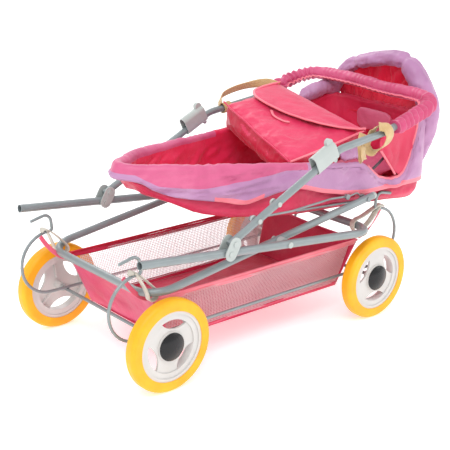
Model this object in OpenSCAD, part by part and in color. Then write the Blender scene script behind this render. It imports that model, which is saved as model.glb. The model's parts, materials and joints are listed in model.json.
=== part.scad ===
// Doll pram, folded flat. +X points to the hood end, +Z up, wheels stand on z = 0.
// Side positions are given as [x, z] pairs measured from the middle of the wheelbase.

/* [Wheels] */
// Outer radius of the tyre
wheel_r = 76; // [70:1:80]
// Radius where the tyre sits on the rim
rim_r = 58; // [54:1:60]
// Width of the tyre
wheel_w = 22; // [18:1:24]
// Distance of each axle from the middle of the wheelbase
axle_x = 234.4; // [225:0.1:240]
// Distance of each wheel's middle plane from the centre line
wheel_y = 157; // [155:1:160]

/* [Chassis] */
// Radius of the axle rod
axle_r = 3; // [2.5:0.5:3]
// Radius of the side wires
wire_r = 2.7; // [2.5:0.1:2.7]
// Distance of the side wires from the centre line
wire_y = 125; // [124:1:127]
// Radius of the C shaped spring at each wire end
spring_r = 54.3; // [50:0.1:54.5]

/* [Frame tubes] */
// Radius of the inner frame tube and of the handle tube
tube_r = 6.35; // [6:0.05:6.5]
// Radius of the outer frame tube
outer_tube_r = 7; // [6.5:0.1:7]
// Distance of the inner frame legs from the centre line
inner_y = 144; // [143:1:145]
// Distance of the outer frame legs and the handle legs from the centre line
outer_y = 169; // [168:1:170]
// Offset of the handle pivot from the outer tube's centre line
pivot_rise = 15.6; // [15:0.1:17]

/* [Soft parts] */
// Half of the carrycot's width
cot_half_w = 121; // [115:1:121]
// Thickness of the carrycot's padded wall
cot_wall = 4; // [3:0.5:5]
// Radius of the hood's arch
hood_r = 132; // [125:1:132]
// Length of the bag along its flap
bag_w = 222; // [200:1:222]
// Depth of the bag from its mouth edge to its back edge
bag_d = 168; // [140:1:170]
// Thickness of the bag
bag_t = 56; // [40:1:58]

/* [Hidden] */
$fn = 64;
SIDES = ["right", "left"];
ENDS = ["rear", "front"];

steel_grey = [0.60, 0.63, 0.64];
clip_grey = [0.77, 0.80, 0.78];
rim_grey = [0.85, 0.84, 0.83];
tyre_yellow = [1.0, 0.76, 0.05];
crimson = [0.84, 0.13, 0.29];
lilac = [0.75, 0.54, 0.71];
peach = [1.0, 0.53, 0.59];
strap_grey = [0.79, 0.77, 0.72];
webbing_tan = [0.83, 0.71, 0.51];

// The row's origin is under the middle of the whole outline, between these two ends
x_min = -(268 + spring_r + wire_r);
x_max = 452;
x_mid = (x_min + x_max) / 2;

// Slopes and crossing point of the two folded frame tubes
inner_slope = 0.1457;
outer_slope = -0.105;
inner_z0 = 192.4;
outer_z0 = 192.6;
inner_angle = atan(inner_slope);
outer_angle = atan(outer_slope);
cross_x = (outer_z0 - inner_z0) / (inner_slope - outer_slope);
cross_z = inner_z0 + inner_slope * cross_x;
inner_cross_x = -258;
outer_cross_x = 215;
inner_end_x = 231;
outer_end_x = -297;
tube_bend_r = 45;
outer_bore_r = 5.8;
outer_bore_l = 35;
pin_r = 2.5;
pin_gap = 0.06;

// Handle: pivot, straight part, bend and crossbar, in the side view
handle_angle = 25.9;
handle_stub = 5.5;
pivot_x = -120.7;
pivot_z = outer_z0 + outer_slope * pivot_x + pivot_rise / cos(outer_angle);
bend_s = 260;
bend_x = pivot_x + bend_s * cos(handle_angle);
bend_z = pivot_z + bend_s * sin(handle_angle);
reach_x = 225;
reach_z = 347.5;
bar_x = 375;
bar_z = 388.5;
grip_r = 11.5;
grip_start_x = 277;
grip_start_z = reach_z + (bar_z - reach_z) * (grip_start_x - reach_x) / (bar_x - reach_x);
lower_clip_s = 58.5;
upper_clip_s = 104.7;
sleeve_s = 198;
sleeve_l = 50;

function inner_z(x) = inner_z0 + inner_slope * x;
function outer_z(x) = outer_z0 + outer_slope * x;
function unit(v) = v / norm(v);
function side_sign(side) = side == "right" ? -1 : 1;
function end_sign(end) = end == "rear" ? -1 : 1;
function on_handle(s) = [pivot_x + s * cos(handle_angle), pivot_z + s * sin(handle_angle)];

// Everything is drawn about the wheelbase's middle and shifted to the row's origin
module placed() translate([-x_mid, 0, 0]) children();

// Points of one bend: corner point p, directions in and out, and bend radius
function bend_points(p, u, v, bend_r) =
    let (
        turn = acos(u * v),
        n = unit(v - (v * u) * u),
        c = p - u * bend_r * tan(turn / 2) + n * bend_r,
        steps = max(3, ceil(turn / 11))
    )
    [for (k = [0:steps]) let (a = turn * k / steps) c + bend_r * (u * sin(a) - n * cos(a))];

// The whole centre line of a bent bar, with its own bend radius at each corner
function bent_line(points, radii) =
    let (last = len(points) - 1)
    concat([points[0]], [
        for (i = [1:last - 1])
            each bend_points(points[i], unit(points[i] - points[i - 1]), unit(points[i + 1] - points[i]), radii[i])
    ], [points[last]]);

function drop_repeats(line) = [for (i = [0:len(line) - 1]) if (i == 0 || norm(line[i] - line[i - 1]) > 0.01) line[i]];
function unit_or_zero(v) = norm(v) > 0 ? v / norm(v) : [0, 0, 0];
function turned(n, t) = unit(n - (n * t) * t);

// Side directions carried along the line without twist
function side_dirs(dirs, start) =
    [for (i = 0, n = turned(start, dirs[0]); i < len(dirs);
        i = i + 1, n = turned(n, dirs[min(i, len(dirs) - 1)])) n];

// A round bar swept along the points; each ring lies square to the line
module bent_bar(points, radii, r, sides = 24) {
    line = drop_repeats(bent_line(points, radii));
    count = len(line);
    dirs = [for (i = [0:count - 1]) unit(
        unit_or_zero(line[min(i + 1, count - 1)] - line[i]) + unit_or_zero(line[i] - line[max(i - 1, 0)]))];
    ns = side_dirs(dirs, [0.3, 0.2, 1]);
    rings = [for (i = [0:count - 1], k = [0:sides - 1])
        line[i] + r * (ns[i] * cos(360 * k / sides) + cross(dirs[i], ns[i]) * sin(360 * k / sides))];
    skin = [for (i = [0:count - 2], k = [0:sides - 1])
        let (a = i * sides + k, b = i * sides + (k + 1) % sides)
        each [[a, a + sides, b], [b, a + sides, b + sides]]];
    polyhedron(rings, concat([[for (k = [0:sides - 1]) k]], skin,
        [[for (k = [sides - 1:-1:0]) (count - 1) * sides + k]]));
}

// A cross pin along Y through [x, z], between two distances from the centre line
module pin_y(at, y0, y1, r, sign = 1)
    translate([at[0], sign > 0 ? y0 : -y1, at[1]]) rotate([-90, 0, 0]) cylinder(r = r, h = y1 - y0);

module both_sides() for (s = [-1, 1]) scale_y(s) children();
module scale_y(s) if (s < 0) mirror([0, 1, 0]) children(); else children();

// ---------- chassis ----------

rail_z = wheel_r + axle_r + wire_r + 0.05;
hook_z = rail_z + 2 * spring_r;

module chassis_wire(side) {
    half = [[303, 213.5], [266, 222], [262, hook_z], [268 + spring_r, hook_z], [268 + spring_r, rail_z]];
    y = side_sign(side) * wire_y;
    points = concat(
        [for (p = half) [-p[0], y, p[1]]],
        [for (i = [4:-1:0]) [half[i][0], y, half[i][1]]]
    );
    color(steel_grey) bent_bar(points, [0, 13, 4.5, spring_r, spring_r, spring_r, spring_r, 4.5, 13, 0], wire_r, 12);
}

module axle(end)
    color(steel_grey) translate([end_sign(end) * axle_x, 0, wheel_r])
        rotate([90, 0, 0]) cylinder(r = axle_r, h = 2 * (wheel_y + 10.5), center = true);

// Push-on clips that hold each wheel against its axle end
module axle_clips()
    color(clip_grey) for (x = [-axle_x, axle_x]) both_sides()
        translate([x, 139.4, wheel_r]) rotate([-90, 0, 0]) difference() {
            cylinder(r = 6.5, h = 2);
            translate([0, 0, -1]) cylinder(r = axle_r + 0.02, h = 4);
        }

// ---------- wheels ----------

module on_wheel(end, side)
    translate([end_sign(end) * axle_x, side_sign(side) * wheel_y, wheel_r])
        rotate([side_sign(side) * -90, 0, 0]) children();

module tyre(end, side) {
    shoulder = 7;
    color(tyre_yellow) on_wheel(end, side) rotate_extrude() {
        translate([rim_r, -wheel_w / 2]) square([wheel_r - rim_r - shoulder, wheel_w]);
        translate([rim_r, shoulder - wheel_w / 2]) square([wheel_r - rim_r, wheel_w - 2 * shoulder]);
        for (v = [-1, 1])
            translate([wheel_r - shoulder, v * (wheel_w / 2 - shoulder)]) circle(shoulder);
    }
}

// Three wide spokes left between three round cuts, with a ring, a hub and an inner boss
module rim(end, side) {
    window_r = 36;
    window_d = 63.5;
    ring_in = 44;
    turn = end == "rear" ? 50 : 0;
    color(rim_grey) on_wheel(end, side) rotate(turn) difference() {
        union() {
            rotate_extrude() {
                translate([ring_in, -8]) square([rim_r - ring_in - 4, 15.5]);
                translate([rim_r - 5, -9.5]) square([4.95, 19]);
            }
            translate([0, 0, 1.5]) linear_extrude(4) difference() {
                circle(ring_in + 1);
                for (a = [30, 150, 270]) rotate(a) translate([window_d, 0]) circle(window_r);
            }
            translate([0, 0, 1.5]) cylinder(r = 24.5, h = 7);
            translate([0, 0, -15]) cylinder(r = 7.5, h = 17);
            for (a = [90, 210, 330]) rotate(a) translate([14, -1.2, -3]) cube([30.5, 2.4, 5]);
        }
        translate([0, 0, -20]) cylinder(r = axle_r + 0.07, h = 40);
    }
}

module hub_cap(end, side) {
    cap_r = 22.9;
    dome = 5.5;
    sphere_r = (cap_r * cap_r + dome * dome) / (2 * dome);
    color([0.06, 0.06, 0.07]) on_wheel(end, side) translate([0, 0, 8.55]) difference() {
        union() {
            cylinder(r = cap_r, h = 1.6);
            translate([0, 0, 1.6]) intersection() {
                translate([0, 0, dome - sphere_r]) sphere(r = sphere_r, $fn = 96);
                cylinder(r = cap_r, h = dome + 1);
            }
        }
        translate([0, 0, -1]) cylinder(r = 6, h = 4.2);
    }
}

// ---------- shopping basket ----------

basket_top = 138;
basket_far_top = 145;
basket_low = 54;

// The basket hangs a little higher on its left side
module basket_tub(inset) {
    hull() {
        translate([-235 + inset, -120 + inset, basket_top - 0.5 + inset])
            cube([460 - 2 * inset, 1, 0.5]);
        translate([-235 + inset, 119 - inset, basket_far_top - 0.5 + inset])
            cube([460 - 2 * inset, 1, 0.5]);
        translate([-200 + inset, -105 + inset, basket_low + inset])
            cube([390 - 2 * inset, 210 - 2 * inset, 0.5]);
    }
}

module basket_windows(margin)
    translate([-196 + margin, -130, 63 + margin]) cube([383 - 2 * margin, 260, 66 - 2 * margin]);

module basket_shell() difference() {
    basket_tub(0);
    basket_tub(1.6);
}

module basket_body()
    color(crimson) difference() {
        basket_shell();
        basket_windows(0);
    }

module basket_mesh(side)
    color([0.95, 0.85, 0.88]) intersection() {
        basket_shell();
        basket_windows(0.05);
        scale_y(side_sign(side)) translate([-300, 1, 0]) cube([600, 200, 200]);
    }

// Tapes that hang the basket's four corners from the springs, passing under the inner tube
module basket_tapes()
    color(lilac) for (s = [-1, 1]) both_sides() mirror([s > 0 ? 1 : 0, 0, 0]) {
        tape = [[-293, 182], [-278, 149], [-262, 142], [-236.4, 136.5]];
        hull_y = 104;
        for (i = [0:2]) hull() for (k = [0, 1])
            translate([tape[i + k][0], hull_y + (2 - i - k) * 4, tape[i + k][1]])
                rotate([-90, 0, 0]) cylinder(r = 0.7, h = 9, $fn = 12);
    }

// ---------- suspension straps ----------

strap_w = 16;
wire_slot = 2 * wire_r + 0.5;

// A loop round the frame tube, with a slot where it hangs on the side wire
module strap_band(spots, side)
    color(strap_grey) translate([0, side_sign(side) * wire_y, 0]) difference() {
        translate([0, strap_w / 2, 0]) rotate([90, 0, 0]) linear_extrude(strap_w) difference() {
            hull() for (p = spots) translate([p[0], p[1]]) circle(p[2] + 1.8, $fn = 32);
            hull() for (p = spots) translate([p[0], p[1]]) circle(p[2], $fn = 32);
        }
        translate([spots[0][0] - 20, -wire_slot / 2, spots[0][1] - 3]) cube([40, wire_slot, 40]);
    }

seat_x = 280;
seat_z = hook_z - 1.3;

module strap_rear(side) strap_band([[-seat_x, seat_z, 3.4], [-258, 154.5, 8.8], [-199, 165, 13]], side);
module strap_front(side) strap_band([[seat_x, seat_z, 3.4], [outer_cross_x - 0.5, outer_z(outer_cross_x), 8.4]], side);

// ---------- crossed frame ----------

module leg_pins(at, y0, y1, r) both_sides() pin_y(at, y0, y1, r);

module outer_tube() {
    z1 = outer_z(outer_end_x);
    z2 = outer_z(outer_cross_x);
    color(steel_grey) difference() {
        bent_bar([
            [outer_end_x, -outer_y, z1], [outer_cross_x, -outer_y, z2],
            [outer_cross_x, outer_y, z2], [outer_end_x, outer_y, z1]
        ], [0, tube_bend_r, tube_bend_r, 0], outer_tube_r);
        both_sides() translate([outer_end_x, outer_y, z1]) rotate([0, 90 - outer_angle, 0])
            translate([0, 0, -1]) cylinder(r = outer_bore_r, h = outer_bore_l + 1);
        leg_pins([cross_x, cross_z], 150, 190, pin_r + 0.02);
        leg_pins(bracket_foot, 150, 190, pin_r + 0.02);
    }
}

// Bracket foot: where the hinge plates are riveted to the outer tube
bracket_foot = [pivot_x - 7 - 1.5, outer_z(pivot_x - 8.5)];

module inner_tube() {
    z1 = inner_z(inner_end_x);
    z2 = inner_z(inner_cross_x);
    color(steel_grey) difference() {
        bent_bar([
            [inner_end_x, -inner_y, z1], [inner_cross_x, -inner_y, z2],
            [inner_cross_x, inner_y, z2], [inner_end_x, inner_y, z1]
        ], [0, tube_bend_r, tube_bend_r, 0], tube_r);
        leg_pins([cross_x, cross_z], 130, 160, pin_r + pin_gap);
        leg_pins(toggle_top, 130, 160, pin_r + pin_gap);
    }
}

// Rivets at the crossing, each with a spacer between the two tubes
module cross_pivots()
    color(clip_grey) both_sides() translate([cross_x, 0, cross_z]) rotate([-90, 0, 0]) {
        translate([0, 0, inner_y - tube_r - 2]) cylinder(r = pin_r, h = outer_y - inner_y + 2 * tube_r + 4.4);
        translate([0, 0, inner_y - tube_r - 2.2]) cylinder(r = 5, h = 2);
        translate([0, 0, inner_y + tube_r + 0.15]) cylinder(r = 8, h = outer_y - inner_y - 2 * tube_r - 1);
        translate([0, 0, outer_y + outer_tube_r + 0.05]) cylinder(r = 5, h = 1.8);
    }

module hinge_bracket(side)
    color(clip_grey) scale_y(side_sign(side)) for (y = [outer_y - 10.4, outer_y + 8.6])
        difference() {
            translate([0, y + 1.8, 0]) rotate([90, 0, 0]) linear_extrude(1.8) hull() {
                translate([pivot_x, pivot_z]) circle(11);
                translate(bracket_foot) circle(11);
            }
            pin_y([pivot_x, pivot_z], 150, 190, pin_r + 0.02);
            pin_y(bracket_foot, 150, 190, pin_r + 0.02);
        }

// Rivets of both hinge brackets: one is the handle's pivot, one holds the plates to the tube
module hinge_rivets()
    color(clip_grey) for (at = [[pivot_x, pivot_z], bracket_foot]) both_sides() {
        pin_y(at, outer_y - 11.9, outer_y + 11.9, pin_r);
        pin_y(at, outer_y + 10.45, outer_y + 12.2, 4.6);
        pin_y(at, outer_y - 12.2, outer_y - 10.45, 4.6);
    }

// Rounded plastic plugs in the inner tube's free ends
module inner_tube_plugs()
    color(clip_grey) both_sides() translate([inner_end_x, inner_y, inner_z(inner_end_x)])
        rotate([0, 90 - inner_angle, 0]) {
            translate([0, 0, 0.02]) cylinder(r = tube_r, h = 3);
            translate([0, 0, 3]) intersection() {
                sphere(r = tube_r);
                cylinder(r = tube_r, h = tube_r);
            }
        }

// Short wires that carry the links from the inner tube's ends
toggle_top = [215, inner_z(215)];
link_end = [176, 232];
toggle_y = 136;
link_eye_y = outer_y - 13;
link_end_y = 132.6;

module toggle(side)
    color(steel_grey) scale_y(side_sign(side)) {
        pin_y(toggle_top, 133.4, 151.4, pin_r);
        pin_y(toggle_top, 150.5, 152.3, 4.6);
        pin_y(toggle_top, 133.4, 137.3, 6.2);
        bent_bar([
            [toggle_top[0], toggle_y, toggle_top[1]], [toggle_top[0] - 16, toggle_y, toggle_top[1] + 12],
            [link_end[0] + 3, toggle_y, link_end[1]]
        ], [0, 8, 0], 1.4, 10);
        pin_y(link_end, toggle_y - 1.4, toggle_y + 1.4, 5);
    }

// ---------- handle ----------

function handle_leg(s) = [
    [on_handle(-handle_stub)[0], s * outer_y, on_handle(-handle_stub)[1]],
    [bend_x, s * outer_y, bend_z],
    [reach_x, s * outer_y, reach_z],
    [bar_x, s * outer_y, bar_z]
];

module handle_tube() {
    left = handle_leg(1);
    color(steel_grey) difference() {
        bent_bar(concat(handle_leg(-1), [left[3], left[2], left[1], left[0]]),
            [0, 60, 80, 50, 50, 80, 60, 0], tube_r);
        leg_pins([pivot_x, pivot_z], 150, 190, pin_r + pin_gap);
        for (s = [lower_clip_s, upper_clip_s]) leg_pins(on_handle(s), 150, 190, 2.02);
    }
}

module handle_grip() {
    start = [grip_start_x, outer_y, grip_start_z];
    corner = [bar_x, outer_y, bar_z];
    path = [[start[0], -start[1], start[2]], [corner[0], -corner[1], corner[2]], corner, start];
    lead = unit(start - corner);
    color(crimson) difference() {
        bent_bar(path, [0, 50, 50, 0], grip_r);
        bent_bar([
            path[0] + [lead[0], 0, lead[2]], path[1], path[2], path[3] + [lead[0], 0, lead[2]]
        ], [0, 50, 50, 0], tube_r + 0.1);
    }
}

// Rivets and plastic clips on the handle legs that take the link wires
module handle_clips()
    color(clip_grey) for (s = [lower_clip_s, upper_clip_s]) both_sides() {
        at = on_handle(s);
        pin_y(at, outer_y - 11.2, outer_y + 7.4, 2);
        pin_y(at, outer_y + tube_r + 0.05, outer_y + tube_r + 1.6, 4);
        pin_y(at, outer_y - 10.4, outer_y - tube_r - 0.05, 6.5);
    }

// Webbing bands of the bag's carrying loops, round the handle legs
module webbing_loops()
    color(webbing_tan) for (p = [[-1, 250], [1, 180]]) {
        t = unit([bar_x - reach_x, bar_z - reach_z]);
        z = p[1] > reach_x ? reach_z + (bar_z - reach_z) * (p[1] - reach_x) / (bar_x - reach_x)
            : bend_z + (reach_z - bend_z) * (p[1] - bend_x) / (reach_x - bend_x);
        a = p[1] > reach_x ? atan2(t[1], t[0]) : atan2(reach_z - bend_z, reach_x - bend_x);
        translate([p[1], p[0] * outer_y, z]) rotate([0, 90 - a, 0]) difference() {
            cylinder(r = tube_r + 1.6, h = 22, center = true);
            cylinder(r = tube_r + 0.05, h = 30, center = true);
        }
    }

// Locking sleeves: a slot that takes the handle leg and, when the handle is up, the outer tube
sleeve_rise = pivot_rise + 0.4;

module sleeve(side)
    color(clip_grey) translate([pivot_x, side_sign(side) * outer_y, pivot_z]) rotate([0, -handle_angle, 0])
        translate([sleeve_s, 0, 0]) difference() {
            union() {
                sleeve_slot(8.9, 0, sleeve_l);
                translate([sleeve_l - 7, -3.6, sleeve_rise + 10.1]) rotate([-90, 0, 0]) cylinder(r = 7, h = 7.2);
                translate([sleeve_l - 5, -2.5, -10]) rotate([-90, 0, 0]) cylinder(r = 4, h = 5);
            }
            sleeve_slot(7.2, -1, sleeve_l + 1);
        }

// A slot shaped bar along +X from s0 to s1: two round edges and a flat between them
module sleeve_slot(r, s0, s1)
    translate([s0, 0, 0]) rotate([90, 0, 90]) linear_extrude(s1 - s0) {
        circle(r);
        translate([0, sleeve_rise]) circle(r);
        translate([-r, 0]) square([2 * r, sleeve_rise]);
    }

// Long link wires from the handle's lower clips towards the toggles
module link(side) {
    a = on_handle(lower_clip_s);
    color(steel_grey) scale_y(side_sign(side)) difference() {
        union() {
            pin_y(a, link_eye_y - 1.6, link_eye_y + 2.2, 5);
            bent_bar([
                [a[0], link_eye_y - 0.2, a[1]], [a[0] + 90, link_eye_y - 0.2, a[1] - 5],
                [link_end[0] - 40, link_end_y, link_end[1] + 3], [link_end[0], link_end_y, link_end[1]]
            ], [0, 40, 40, 0], 1.9, 10);
            pin_y(link_end, link_end_y - 1.5, link_end_y + 1.5, 4);
        }
        pin_y(a, 140, 170, 2.06);
    }
}

// ---------- carrycot ----------

// Height of the carrycot's rim and of its underside along its length, as [x, z]
cot_rim = [[412, 328], [300, 318], [120, 306], [46, 309], [-55, 318], [-105, 322], [-192, 325], [-213, 328]];
cot_floor = [
    [-211, 304], [-196, 284], [-183, 274], [-142, 258], [-105, 240], [-50, 228],
    [66, 219], [290, 203], [380, 197], [392, 206], [412, 240]
];
// Half width of the tapered foot end, as [x, half width]
cot_foot = [
    [-214, 4], [-208, 14], [-198, 24], [-180, 34], [-160, 48], [-140, 60],
    [-112, 71], [-80, 81], [-40, 94], [0, 106], [40, 117], [62, cot_half_w]
];
cot_floor_t = 1.1 * cot_wall;

module cot_side(up, lift)
    polygon(concat([for (p = cot_floor) p + [0, up]], [for (p = cot_rim) p + [0, lift]]));

// Plan of the carrycot: the tapered foot end, straight sides and rounded head corners
module cot_plan(inset) {
    corner = 40 - inset;
    head_x = 412 - inset;
    side = concat(
        [for (p = cot_foot) [p[0] + 1.2 * inset, max(1, p[1] - inset)]],
        [for (a = [0:15:90]) [head_x - corner + corner * sin(a), cot_half_w - inset - corner + corner * cos(a)]]
    );
    polygon(concat(side, [for (i = [len(side) - 1:-1:0]) [side[i][0], -side[i][1]]]));
}

module cot_form(inset, up, lift) intersection() {
    translate([0, 200, 0]) rotate([90, 0, 0]) linear_extrude(400) cot_side(up, lift);
    translate([0, 0, 100]) linear_extrude(400) cot_plan(inset);
}

module cot_body() color(crimson) difference() {
    cot_form(0, 0, 0);
    cot_form(cot_wall, cot_floor_t, 30);
}

// A thin mattress that follows the carrycot's floor
module cot_mattress() color(crimson) intersection() {
    under = cot_floor_t + 0.6;
    span = [for (i = [4:8]) cot_floor[i]];
    translate([0, 200, 0]) rotate([90, 0, 0]) linear_extrude(400)
        polygon(concat([for (p = span) p + [0, under]], [for (i = [4:-1:0]) span[i] + [0, under + 10]]));
    translate([0, 0, 100]) linear_extrude(400) cot_plan(cot_wall + 1);
}

module cot_pillow() color(peach) translate([353, 0, 240]) rotate([0, -12, 0]) {
    translate([-50, -88, -10]) cube([100, 176, 20]);
}

// Wires of the carrycot's bed under its long edges
module cot_wires() color(steel_grey) both_sides()
    bent_bar([for (p = [[64, 225], [150, 219], [244, 212]]) [p[0], cot_half_w + 2.2, p[1]]], [0, 60, 0], 2, 10);

// ---------- hood ----------

hood_front = 392;
hood_base = 331;
hood_centre_z = 445 - hood_r;

module hood_arch(r, x0, x1)
    translate([x0, 0, 0]) rotate([90, 0, 90]) linear_extrude(x1 - x0) intersection() {
        union() {
            translate([0, hood_centre_z]) circle(r);
            translate([-r, hood_centre_z - 100]) square([2 * r, 100]);
        }
        translate([-200, hood_base]) square([400, 200]);
    }

module hood_fabric() color(lilac) difference() {
    hood_arch(hood_r, hood_front, x_max);
    translate([0, 0, -0.5]) hood_arch(hood_r - 20, hood_front - 5, x_max - 14);
    translate([hood_front - 5, 20 - hood_r, hood_base - 5]) cube([x_max - 14 - hood_front + 5, 2 * hood_r - 40, 10]);
}

module hood_bow() color(steel_grey) intersection() {
    translate([hood_front + 10, 0, hood_centre_z]) rotate([0, 90, 0]) rotate_extrude()
        translate([hood_r - 23.5, 0]) circle(2.2);
    translate([0, -200, hood_base + 1]) cube([600, 400, 200]);
}

// ---------- bag ----------

bag_corner = [86, 104, 371];
bag_u = unit([165, 0, 21]);
bag_v = unit([-25, -220, -62]);
bag_n = unit(cross(bag_u, bag_v));
bag_across = cross(bag_n, bag_u);

module on_bag() multmatrix([
    [bag_u[0], bag_across[0], bag_n[0], bag_corner[0]],
    [bag_u[1], bag_across[1], bag_n[1], bag_corner[1]],
    [bag_u[2], bag_across[2], bag_n[2], bag_corner[2]],
    [0, 0, 0, 1]
]) children();

// The bag lies on its back: its mouth faces up and its flap closes over it
module bag_body() color(crimson) on_bag() cube([bag_d, bag_w, bag_t]);

// The flap's far corner is well rounded and its near end tapers to the bag's corner
module bag_flap() color(crimson) on_bag() translate([0, 0, -2.6]) linear_extrude(2.2) hull() {
    translate([bag_d - 50, 38]) circle(34);
    translate([bag_d - 46, 120]) circle(34);
    translate([bag_d - 12, 4]) square([12, bag_w - 8]);
}

placed() chassis_wire("right");  // chassis_wire_right
placed() chassis_wire("left");  // chassis_wire_left
placed() axle("rear");  // axle_rear
placed() axle("front");  // axle_front
placed() axle_clips();
placed() basket_body();
placed() basket_mesh("right");  // basket_mesh_right
placed() basket_mesh("left");  // basket_mesh_left
placed() basket_tapes();
placed() strap_rear("right");  // strap_rear_right
placed() strap_rear("left");  // strap_rear_left
placed() strap_front("right");  // strap_front_right
placed() strap_front("left");  // strap_front_left
for (end = ENDS, side = SIDES) {
    placed() tyre(end, side);
    placed() rim(end, side);
    placed() hub_cap(end, side);
}
placed() outer_tube();
placed() cross_pivots();
placed() hinge_bracket("right");  // hinge_bracket_right
placed() hinge_bracket("left");  // hinge_bracket_left
placed() hinge_rivets();
placed() inner_tube();
placed() inner_tube_plugs();
placed() toggle("right");  // toggle_right
placed() toggle("left");  // toggle_left
placed() handle_tube();
placed() handle_grip();
placed() handle_clips();
placed() webbing_loops();
placed() sleeve("right");  // sleeve_right
placed() sleeve("left");  // sleeve_left
placed() link("right");  // link_right
placed() link("left");  // link_left
placed() cot_body();
placed() cot_mattress();
placed() cot_pillow();
placed() cot_wires();
placed() hood_fabric();
placed() hood_bow();
placed() bag_body();
placed() bag_flap();
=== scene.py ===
"""Looks of a folded doll pram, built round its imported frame, in metres in the frame of the CAD model."""
import json
import math

import bmesh
import bpy
import numpy as np
from mathutils import Matrix, Vector, noise


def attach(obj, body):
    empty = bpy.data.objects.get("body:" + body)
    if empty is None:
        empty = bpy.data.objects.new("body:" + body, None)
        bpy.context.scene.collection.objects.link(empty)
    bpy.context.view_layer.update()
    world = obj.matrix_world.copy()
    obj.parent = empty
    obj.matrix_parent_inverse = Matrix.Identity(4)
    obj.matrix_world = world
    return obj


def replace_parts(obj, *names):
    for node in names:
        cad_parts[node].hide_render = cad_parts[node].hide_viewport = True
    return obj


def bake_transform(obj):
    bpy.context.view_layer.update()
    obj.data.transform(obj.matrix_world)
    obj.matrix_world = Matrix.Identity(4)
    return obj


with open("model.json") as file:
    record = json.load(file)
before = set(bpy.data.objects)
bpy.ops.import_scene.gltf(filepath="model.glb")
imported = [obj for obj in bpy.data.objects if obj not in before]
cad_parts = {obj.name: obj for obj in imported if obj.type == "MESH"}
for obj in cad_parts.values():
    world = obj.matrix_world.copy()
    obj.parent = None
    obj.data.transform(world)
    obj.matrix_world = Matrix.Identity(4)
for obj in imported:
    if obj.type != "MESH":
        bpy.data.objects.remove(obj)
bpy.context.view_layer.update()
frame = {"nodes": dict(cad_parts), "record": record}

CENTRE_X = 0.0635          # the wheelbase's middle lies this far behind the row's origin

# ---------------------------------------------------------------- camera


def make_camera():
    """The viewing angle: 41 degrees off the side towards the foot end, 19 degrees up, with a slight roll."""
    yaw, pitch, roll = math.radians(41.087), math.radians(18.733), math.radians(1.273)
    forward = Vector((math.sin(yaw) * math.cos(pitch), math.cos(yaw) * math.cos(pitch), -math.sin(pitch)))
    level = forward.cross(Vector((0, 0, 1))).normalized()
    over = level.cross(forward)
    right = math.cos(roll) * level + math.sin(roll) * over
    up = -math.sin(roll) * level + math.cos(roll) * over
    data = bpy.data.cameras.new("camera")
    data.sensor_width = 36
    data.lens = 84.72
    camera = bpy.data.objects.new("camera", data)
    bpy.context.scene.collection.objects.link(camera)
    place = Vector((-1.14406 - CENTRE_X, -1.32613, 0.77386))
    rows = [[right[i], up[i], -forward[i], place[i]] for i in range(3)] + [[0, 0, 0, 1]]
    camera.matrix_world = Matrix(rows)
    data.clip_start, data.clip_end = 0.05, 50
    bpy.context.scene.camera = camera


make_camera()

# ---------------------------------------------------------------- studio


def area_light(name, place, aim, size, power, colour=(1, 1, 1)):
    data = bpy.data.lights.new(name, "AREA")
    data.shape = "DISK"
    data.size = size
    data.energy = power
    data.color = colour
    light = bpy.data.objects.new(name, data)
    light.location = place
    light.rotation_mode = "QUATERNION"
    light.rotation_quaternion = (Vector(aim) - Vector(place)).to_track_quat("-Z", "Y")
    bpy.context.scene.collection.objects.link(light)


def make_studio():
    scene = bpy.context.scene
    scene.view_settings.view_transform = "Standard"
    scene.view_settings.look = "None"
    world = bpy.data.worlds.new("studio")
    scene.world = world
    world.use_nodes = True
    background = world.node_tree.nodes["Background"]
    background.inputs["Color"].default_value = (1, 1, 1, 1)
    background.inputs["Strength"].default_value = 0.9
    area_light("key", (-1.2, -1.0, 2.2), (0, 0, 0.2), 1.6, 26)
    area_light("fill", (1.8, -1.6, 1.2), (0, 0, 0.2), 1.4, 8)
    area_light("back", (0.6, 1.8, 1.8), (0, 0, 0.25), 1.2, 10)
    mesh = bpy.data.meshes.new("floor")
    r = 12
    mesh.from_pydata([(-r, -r, 0), (r, -r, 0), (r, r, 0), (-r, r, 0)], [], [(0, 1, 2, 3)])
    floor = bpy.data.objects.new("floor", mesh)
    scene.collection.objects.link(floor)
    floor.data.materials.append(floor_material())


def rgb(text):
    """Linear colour of an sRGB hex text."""
    value = [int(text[i:i + 2], 16) / 255 for i in (0, 2, 4)]
    return tuple(v / 12.92 if v <= 0.04045 else ((v + 0.055) / 1.055) ** 2.4 for v in value)


# ---------------------------------------------------------------- material tools


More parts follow.
